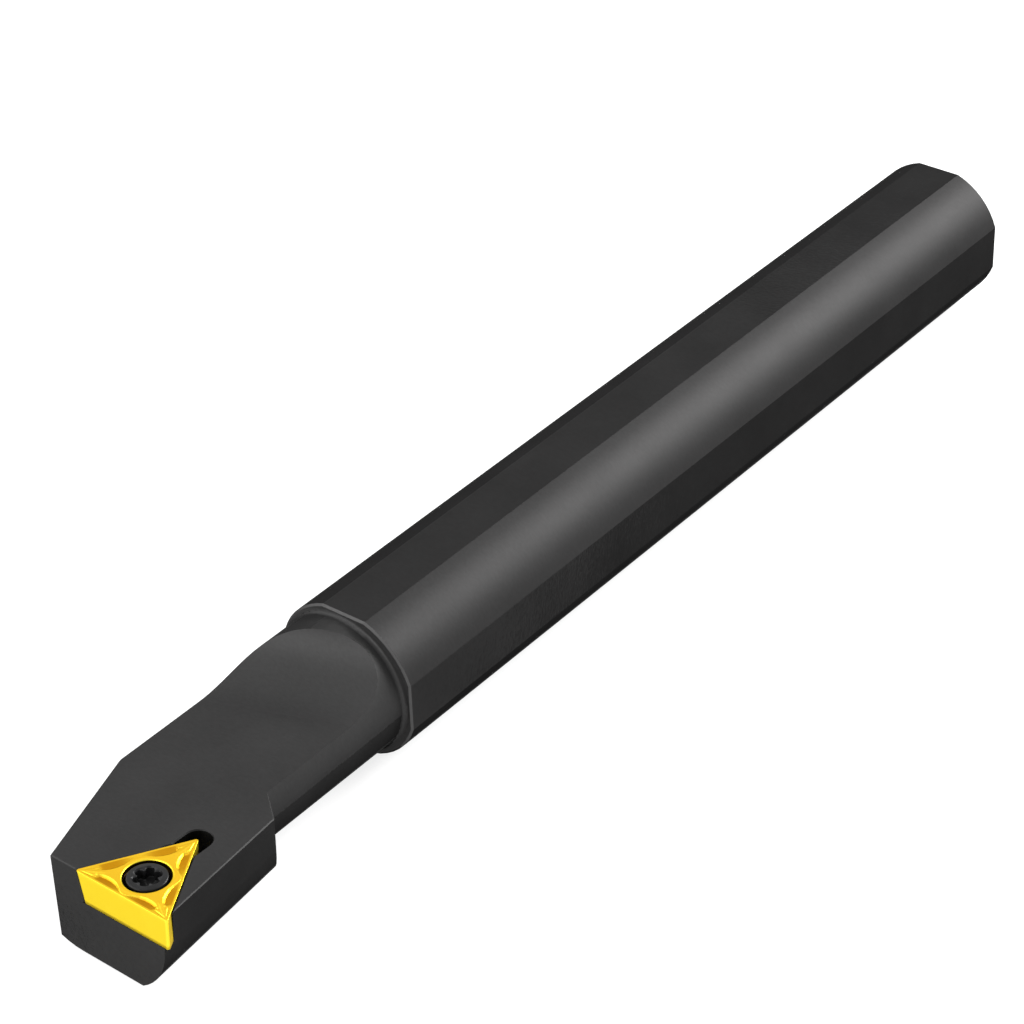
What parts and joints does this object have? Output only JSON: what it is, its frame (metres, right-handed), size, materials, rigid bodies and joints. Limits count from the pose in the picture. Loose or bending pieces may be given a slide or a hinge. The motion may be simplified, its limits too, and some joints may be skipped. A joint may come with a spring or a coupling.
{
  "type": "boring bar",
  "caption": "Right-hand boring bar: round steel shank with flats, slimmer milled neck and a head that holds a three-cornered coated insert with a countersunk screw.",
  "frame": {"origin": "centre of the shank's back end face, on the shank's axis", "axes": "+X along the shank towards the head, +Y towards the cutting corner's side, +Z out of the chip face, at right angles to the top flat"},
  "size_m": [0.14, 0.019, 0.0152],
  "materials": {
    "black_steel": "black oxide, satin",
    "gold_coating": "gold-coloured hard coating on carbide",
    "screw_black": "black oxide"
  },
  "bodies": {
    "bar": {"bar_body": "black_steel"},
    "insert": {"insert": "gold_coating"},
    "screw": {"clamp_screw": "screw_black"}
  },
  "joints": [
    {"name": "insert_lift", "type": "slide", "parent": "bar", "child": "insert", "axis": [-0.0169, -0.0045, 0.9998], "range_m": [0, 0.0036]},
    {"name": "screw_turn", "type": "hinge", "parent": "insert", "child": "screw", "pos_m": [0.13669, 0.00573, 0.00215], "axis": [-0.0169, -0.0045, 0.9998], "range_deg": [0, 2880]}
  ],
  "couplings": [
    {"joint": "screw_turn", "follows": "insert_lift", "rad_per_m": 13962}
  ]
}
